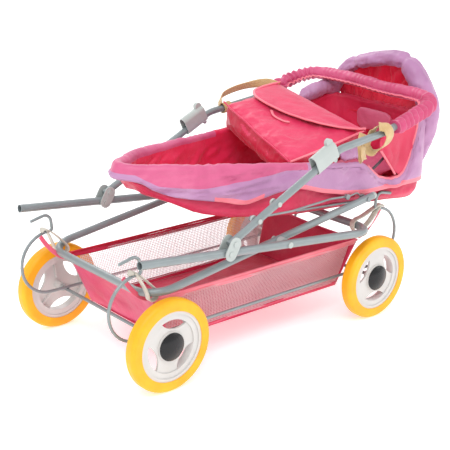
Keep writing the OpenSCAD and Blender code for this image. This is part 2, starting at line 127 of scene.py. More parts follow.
class Graph:
    """Short names for building a node material."""

    def __init__(self, name):
        self.material = bpy.data.materials.new(name)
        self.material.use_nodes = True
        self.tree = self.material.node_tree
        self.shader = self.tree.nodes["Principled BSDF"]
        self.place = self.add("ShaderNodeTexCoord").outputs["Object"]

    def add(self, kind, **settings):
        node = self.tree.nodes.new(kind)
        for key, value in settings.items():
            setattr(node, key, value)
        return node

    def link(self, a, b):
        self.tree.links.new(a, b)

    def set(self, **values):
        for key, value in values.items():
            self.shader.inputs[key.replace("_", " ")].default_value = value

    def noise(self, scale, detail=3.0, rough=0.55, distort=0.0, source=None):
        node = self.add("ShaderNodeTexNoise")
        node.inputs["Scale"].default_value = scale
        node.inputs["Detail"].default_value = detail
        node.inputs["Roughness"].default_value = rough
        node.inputs["Distortion"].default_value = distort
        self.link(source or self.place, node.inputs["Vector"])
        return node.outputs["Fac"]

    def wave(self, scale, direction, source=None, distort=0.0):
        node = self.add("ShaderNodeTexWave", wave_type="BANDS", bands_direction=direction)
        node.inputs["Scale"].default_value = scale
        node.inputs["Distortion"].default_value = distort
        self.link(source or self.place, node.inputs["Vector"])
        return node.outputs["Fac"]

    def ramp(self, source, stops):
        node = self.add("ShaderNodeValToRGB")
        while len(node.color_ramp.elements) < len(stops):
            node.color_ramp.elements.new(0.5)
        for element, (at, colour) in zip(node.color_ramp.elements, stops):
            element.position = at
            element.color = (*colour, 1) if len(colour) == 3 else colour
        self.link(source, node.inputs["Fac"])
        return node.outputs["Color"]

    def math(self, operation, a, b=0.0):
        node = self.add("ShaderNodeMath", operation=operation)
        for slot, value in zip(node.inputs, (a, b)):
            if isinstance(value, (int, float)):
                slot.default_value = value
            else:
                self.link(value, slot)
        return node.outputs[0]

    def mix(self, share, a, b, kind="MIX"):
        node = self.add("ShaderNodeMix", data_type="RGBA", blend_type=kind)
        for slot, value in ((node.inputs["Factor"], share), (node.inputs[6], a), (node.inputs[7], b)):
            if isinstance(value, (int, float)):
                slot.default_value = value
            elif isinstance(value, tuple):
                slot.default_value = (*value, 1)
            else:
                self.link(value, slot)
        return node.outputs[2]

    def bump(self, *layers):
        """Layers of (height, strength, distance in metres), one on top of the other."""
        normal = None
        for height, strength, distance in layers:
            node = self.add("ShaderNodeBump")
            node.inputs["Strength"].default_value = strength
            node.inputs["Distance"].default_value = distance
            self.link(height, node.inputs["Height"])
            if normal is not None:
                self.link(normal, node.inputs["Normal"])
            normal = node.outputs["Normal"]
        self.link(normal, self.shader.inputs["Normal"])

    def colour(self, source):
        self.link(source, self.shader.inputs["Base Color"])

    def rough(self, source, low, high):
        node = self.add("ShaderNodeMapRange")
        node.inputs["To Min"].default_value = low
        node.inputs["To Max"].default_value = high
        self.link(source, node.inputs["Value"])
        self.link(node.outputs["Result"], self.shader.inputs["Roughness"])


def shade(colour, factor):
    return tuple(c * factor for c in colour)


def floor_material():
    g = Graph("studio_floor")
    g.set(Roughness=0.9)
    g.shader.inputs["Specular IOR Level"].default_value = 0.1
    g.colour(g.ramp(g.noise(3), [(0.3, (0.965, 0.965, 0.965)), (0.7, (0.98, 0.98, 0.98))]))
    g.shader.inputs["Emission Color"].default_value = (1, 1, 1, 1)
    g.shader.inputs["Emission Strength"].default_value = 0.4
    return g.material


def paint_material():
    """Grey stove paint on steel: fine orange peel, with slightly darker worn patches."""
    g = Graph("grey_paint")
    base = rgb("868f91")
    patches = g.ramp(g.noise(35, 4), [(0.25, shade(base, 0.88)), (0.75, shade(base, 1.08))])
    specks = g.ramp(g.noise(900, 2), [(0.62, (1, 1, 1)), (0.75, (0.78, 0.79, 0.8))])
    g.colour(g.mix(0.6, patches, specks, "MULTIPLY"))
    g.rough(g.noise(60, 3), 0.24, 0.4)
    g.set(Metallic=0.15)
    g.shader.inputs["Coat Weight"].default_value = 0.35
    g.shader.inputs["Coat Roughness"].default_value = 0.18
    g.bump((g.noise(420, 2), 0.12, 0.0004))
    return g.material


def tyre_material():
    """Yellow foamed plastic with a grained skin, a little darker where it is scuffed."""
    g = Graph("yellow_tyre")
    tone = g.ramp(g.noise(24, 5), [(0.3, rgb("f4a606")), (0.7, rgb("fcb90e"))])
    scuff = g.ramp(g.noise(160, 6, 0.7), [(0.58, (1, 1, 1)), (0.78, (0.9, 0.84, 0.72))])
    g.colour(g.mix(0.5, tone, scuff, "MULTIPLY"))
    g.rough(g.noise(90, 3), 0.36, 0.55)
    g.shader.inputs["Subsurface Weight"].default_value = 0.06
    g.shader.inputs["Subsurface Radius"].default_value = (0.006, 0.003, 0.001)
    g.shader.inputs["Subsurface Scale"].default_value = 0.5
    g.bump((g.noise(1500, 2), 0.14, 0.0003), (g.noise(140, 3), 0.08, 0.0006))
    return g.material


def plastic_material(name, colour, low=0.25, high=0.42):
    """Injection moulded plastic: flow marks in the colour and a very fine spark-eroded grain."""
    g = Graph(name)
    flow = g.ramp(g.noise(14, 4, 0.6, 1.2), [(0.25, shade(colour, 0.93)), (0.75, shade(colour, 1.04))])
    g.colour(flow)
    g.rough(g.noise(70, 4), low, high)
    g.bump((g.noise(2200, 2), 0.08, 0.0002), (g.noise(60, 2), 0.05, 0.0005))
    return g.material


def cap_material():
    g = Graph("black_cap")
    g.colour(g.ramp(g.noise(30, 3), [(0.3, (0.004, 0.004, 0.005)), (0.7, (0.010, 0.010, 0.012))]))
    g.rough(g.noise(120, 4), 0.2, 0.32)
    g.shader.inputs["Specular IOR Level"].default_value = 0.3
    g.shader.inputs["Coat Weight"].default_value = 0.15
    g.bump((g.noise(300, 3), 0.05, 0.0003))
    return g.material


def weave(g, pitch, strength=0.25, crinkle=0.3):
    """Over-and-under weave of the given pitch, with soft satin crinkles."""
    scale = 1.0 / pitch / 3.183
    a = g.wave(scale, "DIAGONAL")
    b = g.wave(scale, "X")
    c = g.wave(scale, "Z")
    grid = g.math("MULTIPLY", g.math("ADD", a, b), c)
    return [(grid, strength, 0.0002), (g.noise(75, 4, 0.6, 0.8), crinkle, 0.003),
            (g.noise(18, 3), crinkle, 0.006)]


def fabric_material(name, low, mid, high, pitch=0.0011, crinkle=0.3, rough=(0.34, 0.5), sheen=0.35):
    """Satin woven nylon: three tones that follow the light folds of the cloth."""
    g = Graph(name)
    tone = g.ramp(g.noise(11, 4, 0.55, 0.6), [(0.25, low), (0.5, mid), (0.78, high)])
    thread = g.ramp(g.wave(1.0 / pitch / 3.183, "DIAGONAL"), [(0.0, (0.93, 0.93, 0.93)), (1.0, (1, 1, 1))])
    g.colour(g.mix(0.7, tone, thread, "MULTIPLY"))
    g.rough(g.noise(45, 3), *rough)
    g.shader.inputs["Sheen Weight"].default_value = sheen
    g.shader.inputs["Sheen Roughness"].default_value = 0.4
    g.shader.inputs["Sheen Tint"].default_value = (1.0, 0.75, 0.82, 1)
    g.bump(*weave(g, pitch, 0.2, crinkle))
    return g.material


def strap_material():
    g = Graph("grey_strap")
    tone = g.ramp(g.noise(40, 4), [(0.3, rgb("bdb7ab")), (0.7, rgb("d2cdc2"))])
    g.colour(tone)
    g.rough(g.noise(80, 3), 0.35, 0.55)
    g.bump((g.noise(700, 4, 0.6), 0.25, 0.0004), (g.noise(90, 3), 0.2, 0.001))
    return g.material


def webbing_material():
    """Tan cotton webbing with ribs across its width."""
    g = Graph("tan_webbing")
    ribs = g.wave(1.0 / 0.0016 / 3.183, "DIAGONAL")
    tone = g.ramp(g.noise(60, 4), [(0.3, rgb("c9a670")), (0.7, rgb("dcbf8e"))])
    g.colour(g.mix(0.55, tone, g.ramp(ribs, [(0.0, (0.72, 0.7, 0.66)), (1.0, (1, 1, 1))]), "MULTIPLY"))
    g.set(Roughness=0.85)
    g.shader.inputs["Sheen Weight"].default_value = 0.3
    g.bump((ribs, 0.5, 0.0004), (g.noise(900, 3), 0.2, 0.0002))
    return g.material


PAINT = paint_material()
TYRE = tyre_material()
RIM = plastic_material("rim_plastic", rgb("cfccc9"))
CLIP = plastic_material("clip_plastic", rgb("b4bbb8"), 0.28, 0.42)
CAP = cap_material()
CRIMSON = fabric_material("crimson_nylon", rgb("c01440"), rgb("d42250"), rgb("e23a64"))
DEEP = fabric_material("deep_crimson_nylon", rgb("b60a2c"), rgb("cb1138"), rgb("dc1f48"))
PINK = fabric_material("pink_nylon", rgb("c04c7a"), rgb("d05c88"), rgb("dd7299"))
LILAC = fabric_material("lilac_nylon", rgb("a5729d"), rgb("b985b0"), rgb("c79abd"))
PEACH = fabric_material("peach_trim", rgb("ea6c80"), rgb("f57c8c"), rgb("fa909c"), 0.0009, 0.15)
STRAP = strap_material()
WEBBING = webbing_material()
LINING = fabric_material("lining_nylon", rgb("d81c48"), rgb("e52c5a"), rgb("f0446c"), crinkle=0.35)
# Partly painted light: the hood lining is crimson cloth, made lighter than its own colour to paint in light
# shining through the thin nylon.
HOOD_LIGHTENED_RED = fabric_material("hood_lining_painted_light_nylon", rgb("e2183c"), rgb("ee264a"), rgb("f84060"), crinkle=0.35)
# Painted shade: a darker copy of the bag cloth for the bag's sides and bottom, which face away from the
# light.
BAG_PAINTED_SHADE = fabric_material("bag_painted_shade_nylon", rgb("b80e38"), rgb("c6163e"), rgb("d4244c"))
PILLOW = fabric_material("pillow_nylon", rgb("d85c84"), rgb("e26e94"), rgb("ec86a4"))
GUSSET = fabric_material("gusset_nylon", rgb("c01640"), rgb("d42a52"), rgb("e04668"))
BAG_CLOTH = fabric_material("bag_nylon", rgb("cf2252"), rgb("dd305e"), rgb("ea4670"), crinkle=0.35)
GRIP = fabric_material("grip_nylon", rgb("bc3a66"), rgb("cb4876"), rgb("dc6490"))
BASKET_PINK = fabric_material("basket_nylon", rgb("cf3460"), rgb("de4670"), rgb("ea608a"))
TAPE = fabric_material("basket_tape", rgb("e0506e"), rgb("ea647e"), rgb("f27c90"), 0.0008, 0.12)
DARK = plastic_material("strut_plastic", rgb("4a3a44"))
NET_NEAR = plastic_material("near_net", rgb("eab9c0"), 0.5, 0.7)
NET_FAR = plastic_material("far_net", rgb("f4eaee"), 0.5, 0.7)

CAD_LOOKS = {
    "wire": PAINT, "tube": PAINT, "tyre": TYRE, "rim": RIM, "hub_cap": CAP, "strap": STRAP,
    "mesh": PEACH, "basket_fabric": CRIMSON, "tape": PINK, "webbing": WEBBING, "cot_fabric": CRIMSON,
    "pillow_fabric": PINK, "hood_fabric": LILAC, "bag_fabric": CRIMSON, "grip_fabric": PINK,
    "clip_plastic": CLIP,
}


def dress_frame():
    """Gives every CAD node its slot's material and shades its curved faces smooth."""
    slots = {s["node"]: s["material_slot"] for s in frame["record"]["subparts"]}
    for name, node in frame["nodes"].items():
        node.data.materials.clear()
        node.data.materials.append(CAD_LOOKS[slots[name]])
        node.data.polygons.foreach_set("use_smooth", [True] * len(node.data.polygons))
        node.data.set_sharp_from_angle(angle=math.radians(32))


make_studio()
dress_frame()

# ---------------------------------------------------------------- geometry tools


def row(points):
    """Millimetres about the wheelbase's middle to metres in the row's frame."""
    p = np.asarray(points, float) / 1000
    return p - np.array([CENTRE_X, 0, 0])


def unit(v):
    v = np.asarray(v, float)
    return v / np.maximum(np.linalg.norm(v, axis=-1, keepdims=True), 1e-9)


def smooth_line(points, count, closed=False):
    """A Catmull-Rom line through the points, at count even steps of its length."""
    p = np.asarray(points, float)
    n = len(p)
    out = []
    for i in range(n if closed else n - 1):
        if closed:
            a, b, c, d = p[i - 1], p[i], p[(i + 1) % n], p[(i + 2) % n]
        else:
            b, c = p[i], p[i + 1]
            a = p[i - 1] if i else 2 * b - c
            d = p[i + 2] if i + 2 < n else 2 * c - b
        for t in np.linspace(0, 1, 16, endpoint=False):
            out.append(0.5 * (2 * b + (c - a) * t + (2 * a - 5 * b + 4 * c - d) * t * t
                              + (3 * b - a - 3 * c + d) * t ** 3))
    out.append(p[0] if closed else p[-1])
    out = np.array(out)
    reach = np.concatenate([[0], np.cumsum(np.linalg.norm(np.diff(out, axis=0), axis=1))])
    at = np.linspace(0, reach[-1], count + 1)[:-1] if closed else np.linspace(0, reach[-1], count)
    return np.stack([np.interp(at, reach, out[:, k]) for k in range(out.shape[1])], 1)


def lump(x, y, z, seed=0.0):
    """Smooth noise from -1 to 1 for arrays of places."""
    x, y, z = np.broadcast_arrays(x, y, z)
    places = zip(x.ravel(), y.ravel(), z.ravel())
    flat = [noise.noise(Vector((a + seed, b - seed, c + 2 * seed))) for a, b, c in places]
    return np.array(flat).reshape(x.shape)


def crease(x, y, z, seed=0.0):
    """Sharp-edged folds: 1 on each fold's crest and falling away on both sides."""
    return 1 - 2.2 * np.abs(lump(x, y, z, seed))


def make_mesh(name, vertices, faces, materials, slots=None):
    """A smooth mesh from points in millimetres."""
    mesh = bpy.data.meshes.new(name)
    mesh.from_pydata([tuple(v) for v in row(vertices)], [], faces)
    for material in materials:
        mesh.materials.append(material)
    if slots is not None:
        mesh.polygons.foreach_set("material_index", slots)
    mesh.polygons.foreach_set("use_smooth", [True] * len(mesh.polygons))
    mesh.update()
    obj = bpy.data.objects.new(name, mesh)
    bpy.context.scene.collection.objects.link(obj)
    return obj


def grid_mesh(name, points, materials, around=False, along=False, slots=None):
    """A mesh over a grid of points; around closes the first direction and along the second."""
    points = np.asarray(points, float)
    a, b = points.shape[:2]
    faces, kinds = [], []
    for i in range(a if around else a - 1):
        for j in range(b if along else b - 1):
            k, m = (i + 1) % a, (j + 1) % b
            faces.append((i * b + j, k * b + j, k * b + m, i * b + m))
            kinds.append(0 if slots is None else int(slots[i, j]))
    return make_mesh(name, points.reshape(-1, 3), faces, materials, kinds)


def tube_mesh(name, line, radius, material, sides=14, closed=False, flat=1.0, side=(0, 0, 1), shape=None):
    """A soft tube along a line in millimetres; flat scales it across side, and shape adds to each radius."""
    line = np.asarray(line, float)
    n = len(line)
    ahead = np.roll(line, -1, 0) - np.roll(line, 1, 0)
    if not closed:
        ahead[0], ahead[-1] = line[1] - line[0], line[-1] - line[-2]
    ahead = unit(ahead)
    up = np.tile(np.asarray(side, float), (n, 1)) if np.ndim(side) == 1 else np.asarray(side, float)
    up = unit(up - (up * ahead).sum(1, keepdims=True) * ahead)
    over = np.cross(ahead, up)
    turn = np.linspace(0, 2 * math.pi, sides, endpoint=False)
    r = np.broadcast_to(np.asarray(radius, float), (n,))[:, None] * np.ones((n, sides))
    if shape is not None:
        r = r + shape
    ring = (line[:, None, :] + (r * np.cos(turn))[..., None] * over[:, None, :]
            + (r * np.sin(turn))[..., None] * flat * up[:, None, :])
    obj = grid_mesh(name, ring, [material], around=closed, along=True)
    if not closed:
        cap_ends(obj, n, sides)
    return obj


def cap_ends(obj, n, sides):
    bm = bmesh.new()
    bm.from_mesh(obj.data)
    bm.verts.ensure_lookup_table()
    bm.faces.new([bm.verts[k] for k in range(sides)])
    bm.faces.new([bm.verts[(n - 1) * sides + k] for k in reversed(range(sides))])
    bm.normal_update()
    bm.to_mesh(obj.data)
    bm.free()


def ribbon_mesh(name, line, across, width, thick, material, curl=0.0):
    """A flat band: a rounded rectangle carried along a line, its width lying along across."""
    line = np.asarray(line, float)
    n = len(line)
    ahead = unit(np.gradient(line, axis=0))
    across = np.tile(np.asarray(across, float), (n, 1)) if np.ndim(across) == 1 else np.asarray(across, float)
    across = unit(across - (across * ahead).sum(1, keepdims=True) * ahead)
    normal = np.cross(ahead, across)
    half, t = width / 2, thick / 2
    outline = [(-half, 0), (-half + t, -t), (-half / 2, -t), (0, -t), (half / 2, -t), (half - t, -t),
               (half, 0), (half - t, t), (half / 2, t), (0, t), (-half / 2, t), (-half + t, t)]
    grid = np.stack([line + a * across + (b + curl * (a / half) ** 2) * normal for a, b in outline], 1)
    obj = grid_mesh(name, grid, [material], along=True)
    cap_ends(obj, n, len(outline))
    return obj


def solidify(obj, thickness, offset=-1.0):
    """Real thickness for a sheet, in metres."""
    modifier = obj.modifiers.new("thickness", "SOLIDIFY")
    modifier.thickness = thickness
    modifier.offset = offset
    return obj


def refine(obj, levels=1):
    modifier = obj.modifiers.new("refine", "SUBSURF")
    modifier.levels = modifier.render_levels = levels
    return obj


def apply_all(obj):
    """Bakes the modifiers into the mesh."""
    graph = bpy.context.evaluated_depsgraph_get()
    mesh = bpy.data.meshes.new_from_object(obj.evaluated_get(graph))
    obj.modifiers.clear()
    old = obj.data
    obj.data = mesh
    bpy.data.meshes.remove(old)
    return obj


def puff(obj, pressure, frames, cap, voxel):
    """Inflates a closed soft form with a cloth simulation, then clips each point's move to cap
    metres."""
    remesh = obj.modifiers.new("remesh", "REMESH")
    remesh.mode = "VOXEL"
    remesh.voxel_size = voxel
    remesh.use_smooth_shade = True
    apply_all(obj)
    count = len(obj.data.vertices)
    start = np.empty(count * 3)
    obj.data.vertices.foreach_get("co", start)
    start = start.reshape(-1, 3)
    scene = bpy.context.scene
    cloth = obj.modifiers.new("cloth", "CLOTH")
    cloth.settings.quality = 6
    cloth.settings.mass = 0.2
    cloth.settings.tension_stiffness = 12
    cloth.settings.compression_stiffness = 12
    cloth.settings.bending_stiffness = 0.3
    cloth.settings.use_pressure = True
    cloth.settings.uniform_pressure_force = pressure
    cloth.settings.effector_weights.gravity = 0
    cloth.point_cache.frame_start, cloth.point_cache.frame_end = 1, frames
    for frame_number in range(1, frames + 1):
        scene.frame_set(frame_number)
        bpy.context.view_layer.update()
    apply_all(obj)
    scene.frame_set(1)
    moved = np.empty(count * 3)
    obj.data.vertices.foreach_get("co", moved)
    step = moved.reshape(-1, 3) - start
    length = np.linalg.norm(step, axis=1, keepdims=True)
    step *= np.minimum(1, cap / np.maximum(length, 1e-9))
    obj.data.vertices.foreach_set("co", (start + step).ravel())
    obj.data.update()
    refine(obj)
    apply_all(obj)
    obj.data.polygons.foreach_set("use_smooth", [True] * len(obj.data.polygons))
    return obj


# ---------------------------------------------------------------- carrycot

# Plan of one half, from the foot tip to the middle of the head end, as (x, half width)
COT_PLAN = [(-214, 0), (-207, 15), (-196, 25), (-180, 34), (-160, 48), (-140, 60), (-112, 71), (-80, 81),
            (-40, 94), (0, 106), (40, 116), (66, 121), (110, 121), (160, 121), (210, 121), (260, 121),
            (310, 121), (350, 121), (377, 118), (397, 106), (408, 88), (411, 60), (412, 30), (412, 0)]
COT_TURNS = 520


def table(x, pairs):
    p = np.asarray(sorted(pairs), float)
    return np.interp(x, p[:, 0], p[:, 1])


def cot_outline():
    """The closed plan line, its outward directions and the distance along it."""
    near = [(x, -w) for x, w in reversed(COT_PLAN)]
    far = [(x, w) for x, w in COT_PLAN[1:-1]]
    line = smooth_line(near + far, COT_TURNS, closed=True)
    ahead = unit(np.roll(line, -1, 0) - np.roll(line, 1, 0))
    out = np.stack([-ahead[:, 1], ahead[:, 0]], 1)
    if (out * line).sum() < 0:
        out = -out
    reach = np.cumsum(np.linalg.norm(line - np.roll(line, 1, 0), axis=1))
    return line, out, reach


# Heights along the carrycot as (x, z): the rim on each side, the colour borders, the underside and the floor
RIM_NEAR = [(-214, 327), (-192, 325), (-140, 324), (-105, 322), (-55, 318), (0, 313), (46, 309), (100, 302),
            (150, 294), (200, 287), (228, 281), (246, 266), (262, 252), (285, 242), (312, 236), (335, 240),
            (348, 256), (358, 285), (366, 316), (373, 338), (386, 356), (400, 362), (412, 345)]
RIM_FAR = [(-214, 327), (-192, 325), (-140, 323), (-55, 317), (46, 310), (150, 314), (260, 322), (300, 336),
           (350, 344), (400, 350), (412, 345)]
PINK_NEAR = [(-214, 322), (-190, 306), (-167, 294), (-114, 287), (-62, 288), (0, 294), (28, 298), (60, 303),
             (80, 309)]
LILAC_LOW = [(-214, 303), (-197, 302), (-160, 277), (-105, 266), (-60, 257), (-36, 250), (0, 258), (40, 268),
             (65, 266), (116, 249), (179, 234), (232, 227), (283, 226), (340, 225), (385, 224), (412, 227)]
COT_LOW = [(-214, 304), (-196, 292), (-183, 277), (-142, 260), (-105, 241), (-53, 229), (66, 219), (290, 203),
           (359, 195), (385, 199), (400, 206), (412, 214)]
FLOOR_TOP = [(-214, 312), (-150, 276), (-105, 258), (-50, 243), (66, 234), (290, 218), (412, 214)]


def side_mix(y, near, far):
    """Share of the near side's shape at each point, changing smoothly round the ends."""
    share = np.clip(0.5 - y / 60, 0, 1)
    share = share * share * (3 - 2 * share)
    return near * share + far * (1 - share)


def around(values, width=9):
    """A moving average round a closed line."""
    half = width // 2
    return np.convolve(np.r_[values[-half:], values, values[:half]], np.ones(width) / width, "valid")


def cot_cover():
    """One skin: the lining up the inside, the rolled rim and the loose outer cover down to its bound hem."""
    line, out, reach = cot_outline()
    x, y = line[:, 0], line[:, 1]
    rim = around(side_mix(y, table(x, RIM_NEAR), table(x, RIM_FAR)))
    hem = np.minimum(around(table(x, LILAC_LOW)), rim - 14)
    floor = np.minimum(table(x, FLOOR_TOP) + 2, rim - 20)
    fat = np.interp(x, [-150, 40], [13.5, 9])
    low_roll = rim - fat
    pink = np.where(x < 88, np.minimum(table(x, PINK_NEAR), low_roll - 0.5), low_roll - 0.5)
    pink = np.maximum(pink, hem + 9)
    pink = np.minimum(pink, low_roll - 0.3)
    rows, kinds = [], []
    inner, roll_rows = 16, 8
    for k in range(inner):
        t = k / (inner - 1)
        rows.append((-9 + 3 * t - 0.61 * (fat - 9) * t, floor + (low_roll - floor) * t))
        kinds.append("lining")
    for k in range(1, roll_rows + 1):
        a = math.pi * k / (roll_rows + 1)
        rows.append((-2 - 0.61 * fat * math.cos(a) + 2 * k / 9, low_roll + fat * math.sin(a) ** 0.8))
        kinds.append("roll")
    bands = ((low_roll, pink, 10, "pink"), (pink, hem + 8, 14, "lilac"), (hem + 8, hem, 3, "hem"))
    for top, low, count, kind in bands:
        for k in range(0 if kind == "pink" else 1, count + 1):
            z = top + (low - top) * k / count
            t = np.clip((low_roll - z) / (low_roll - hem), 0, 1)
            hang = 4.5 * np.sin(math.pi * np.minimum(1, t * 0.9))
            rows.append((5 + 0.61 * (fat - 9) * (1 - t) + hang + 2 * t, z))
            kinds.append(kind)
    offset = np.stack([r[0] for r in rows], 1)
    z = np.stack([r[1] for r in rows], 1)
    s = reach[:, None] + 0 * z
    index = np.arange(len(rows))
    outside = np.clip((index - inner) / 10, 0, 1)[None, :]
    inside = np.clip((inner - index) / 8, 0, 1)[None, :]
    soft = np.clip((rim - hem) / 60, 0.4, 1)[:, None]
    swag = 5.0 * lump(s / 95, z / 19, 0 * s, 3.1) + 4.0 * crease(s / 62 + z / 34, z / 15, 0 * s, 7.7) - 1.0
    most = np.interp(x, [-40, 60], [17, 9.5])[:, None]
    fine = 1.8 * crease(s / 23, z / 9, 0 * s, 12.3) + 1.8 * lump(s / 30, z / 12, 0 * s, 1.9)
    offset = np.where(outside > 0, np.clip(offset + outside * soft * (swag + fine), -8, most), offset)
    low_part = index >= inner + roll_rows + 3
    offset[:, low_part] = np.maximum(offset[:, low_part], 3.2)
    wall = 5.5 * lump(s / 60, z / 26, 0 * s, 21.0) + 4.5 * crease(s / 40 - z / 30, z / 22, 0 * s, 5.5) - 3
    offset = offset + inside * np.minimum(wall, 2.5)
    roll = np.exp(-((index - (inner + 4)) / 6.0) ** 2)[None, :]
    z = z + roll * (2.4 * lump(s / 44, 0 * s, 0 * s, 9.0) + 1.4 * crease(s / 18, 0 * s, 0 * s, 2.0))
    grid = np.stack([x[:, None] + out[:, 0:1] * offset, y[:, None] + out[:, 1:2] * offset, z], 2)
    looks = {"lining": 0, "pink": 1, "lilac": 2}
    slots = np.zeros((len(x), len(rows)), int)
    for j in range(len(rows) - 1):
        kind = kinds[j + 1]
        if kind == "roll":
            slots[:, j] = np.where(x < 85, 1, 0 if j < inner + 4 else 2)
        elif kind == "pink":
            slots[:, j] = np.where(x < 85, 1, 2)
        elif kind == "hem":
            slots[:, j] = np.where((x > 58) | ((x > -86) & (x < 2)), 3, 2)
        else:
            slots[:, j] = looks[kind]
    cover = grid_mesh("carrycot_cover", grid, [LINING, PINK, LILAC, PEACH], around=True, slots=slots)
    solidify(cover, 0.0012, 0.0)
    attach(cover, "carrycot")
    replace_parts(cover, "cot_body")
    return cover, grid, line, out, reach


def cot_under(line, out, reach):
    """The fitted crimson body below the loose cover, closed by its floor."""
    x, y = line[:, 0], line[:, 1]
    low = around(table(x, COT_LOW))
    top = np.minimum(table(x, LILAC_LOW) + 16, table(x, RIM_FAR) - 16)
    rows, ends = 22, 9
    grid = np.zeros((len(x), rows + ends, 3))
    s = reach
    for k in range(rows):
        t = k / (rows - 1)
        z = top + (low - top) * t
        off = -6 + 7.5 * min(1, t / 0.8) - 6 * t ** 6
        fold = (3.0 * lump(s / 70, z / 16, 0 * s, 33.0) + 2.6 * crease(s / 50 + z / 40, z / 13, 0 * s, 4.4)
                + 1.1 * crease(s / 17, z / 8, 0 * s, 8.0)) * min(1, t * 1.4) * (1.15 - t)
        fold = np.minimum(fold, 2.2)
        grid[:, k, 0] = x + out[:, 0] * (off + fold)
        grid[:, k, 1] = y + out[:, 1] * (off + fold)
        grid[:, k, 2] = z
    centre = np.stack([np.clip(x, -185, 385), 0 * y, low + 1.5], 1)
    edge = grid[:, rows - 1, :].copy()
    for k in range(ends):
        t = ((k + 1) / ends) ** 0.8
        ring = edge * (1 - t) + centre * t
        ring[:, 2] = table(ring[:, 0], COT_LOW) - 1.5 * math.sin(math.pi * min(1, t * 2)) + 1.5 * t
        grid[:, rows + k, :] = ring
    under = grid_mesh("carrycot_body", grid, [CRIMSON], around=True)
    solidify(under, 0.0012, 1.0)
    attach(under, "carrycot")
    piping = tube_mesh("carrycot_seam", edge + np.array([0, 0, -0.5]), 1.5, DEEP, 8, closed=True)
    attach(piping, "carrycot")


def cot_trims(grid, line):
    """Peach binding round the near side's open gusset."""
    x, y = line[:, 0], line[:, 1]
    near = np.where((y < 0) & (x > 236) & (x < 380))[0]
    edge = tube_mesh("gusset_binding", grid[near, 20, :], 2.3, PEACH, 10, flat=1.5)
    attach(edge, "carrycot")


def cot_bedding():
    """The mattress on the floor and the pillow that leans on the head end."""
    mid = smooth_line([(-108, 264), (-50, 250), (66, 236), (290, 220), (402, 216)], 40)
    grid = []
    for xx, zz in mid:
        half = table(xx, [(p[0], p[1]) for p in COT_PLAN[:-6]]) - 9
        for_side = np.linspace(0, 2 * math.pi, 44, endpoint=False)
        yy = half * np.sign(np.cos(for_side)) * np.abs(np.cos(for_side)) ** 0.35
        up = 6.5 * np.sign(np.sin(for_side)) * np.abs(np.sin(for_side)) ** 0.6
        quilt = (1.6 * lump(xx / 40 + 0 * yy, yy / 40, 0 * yy, 4.0)
                 + 1.2 * crease(xx / 60 + 0 * yy, yy / 30, 0 * yy, 6.0))
        grid.append(np.stack([xx + 0 * yy, yy, zz + up + np.where(up > 0, quilt, 0)], 1))
    pad = grid_mesh("mattress", np.array(grid), [LINING], along=True)
    cap_ends(pad, len(mid), 44)
    refine(pad)
    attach(pad, "carrycot")
    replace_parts(pad, "cot_mattress")
    pillow = soft_box("pillow", (353, 0, 240), (92, 166, 20), PILLOW, turn=-12, round_to=3.2)
    puff(pillow, 3.0, 18, 0.010, 0.0045)
    wrinkle(pillow, 0.0022, 0.035, 5.0)
    rest = soft_box("head_pad", (391, 2, 313), (9, 92, 48), PILLOW, turn=-8, round_to=5)
    puff(rest, 2.0, 12, 0.005, 0.0045)
    wrinkle(rest, 0.0014, 0.03, 2.0)
    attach(rest, "carrycot")
    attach(pillow, "carrycot")
    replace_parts(pillow, "cot_pillow")


def soft_box(name, centre, size, material, turn=0.0, place=None, round_to=4.0, crown=0.12, steps=14):
    """A closed block with rounded edges and crowned faces, in millimetres; turn is about Y in degrees.
    place, if given, maps the block's own points instead."""
    bm = bmesh.new()
    bmesh.ops.create_cube(bm, size=2)
    bmesh.ops.subdivide_edges(bm, edges=bm.edges[:], cuts=steps, use_grid_fill=True)
    c = np.array([v.co for v in bm.verts])
    p = np.abs(c)
    norm = (p ** (2 * round_to)).sum(1) ** (1 / (2 * round_to))
    c = c / norm[:, None]
    swell = 1 - crown + crown * np.stack([(1 - c[:, 1] ** 2) * (1 - c[:, 2] ** 2),
                                          (1 - c[:, 0] ** 2) * (1 - c[:, 2] ** 2),
                                          (1 - c[:, 0] ** 2) * (1 - c[:, 1] ** 2)], 1)
    c = c * swell * np.asarray(size) / 2
    a = math.radians(turn)
    spin = np.array([[math.cos(a), 0, math.sin(a)], [0, 1, 0], [-math.sin(a), 0, math.cos(a)]])
    c = row(place(c) if place else c @ spin.T + np.asarray(centre))
    for v, point in zip(bm.verts, c):
        v.co = point
    bmesh.ops.recalc_face_normals(bm, faces=bm.faces[:])
    mesh = bpy.data.meshes.new(name)
    bm.to_mesh(mesh)
    bm.free()
    mesh.materials.append(material)
    mesh.polygons.foreach_set("use_smooth", [True] * len(mesh.polygons))
    obj = bpy.data.objects.new(name, mesh)
    bpy.context.scene.collection.objects.link(obj)
    return obj


def wrinkle(obj, height, size, seed, stretch=(1, 1, 1)):
    """Pushes folds into a finished soft mesh along its own normals, in metres."""
    mesh = obj.data
    n = len(mesh.vertices)
    co, nor = np.empty(n * 3), np.empty(n * 3)
    mesh.vertices.foreach_get("co", co)
    mesh.vertex_normals.foreach_get("vector", nor)
    co, nor = co.reshape(-1, 3), nor.reshape(-1, 3)
    q = co / size / np.asarray(stretch)
    d = (0.6 * lump(q[:, 0], q[:, 1], q[:, 2], seed)
         + 0.5 * crease(q[:, 0] * 1.6, q[:, 1] * 1.6, q[:, 2] * 1.6, seed + 3) - 0.25)
    mesh.vertices.foreach_set("co", (co + nor * (d * height)[:, None]).ravel())
    mesh.update()


# ---------------------------------------------------------------- hood


def gathered_skin(name, grid, material):
    """A skin hung in the hood's rim, reaching down to the carrycot's head end."""
    skin = grid_mesh(name, grid, [material])
    solidify(skin, 0.0012, 0.0)
    apply_all(skin)
    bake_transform(skin)


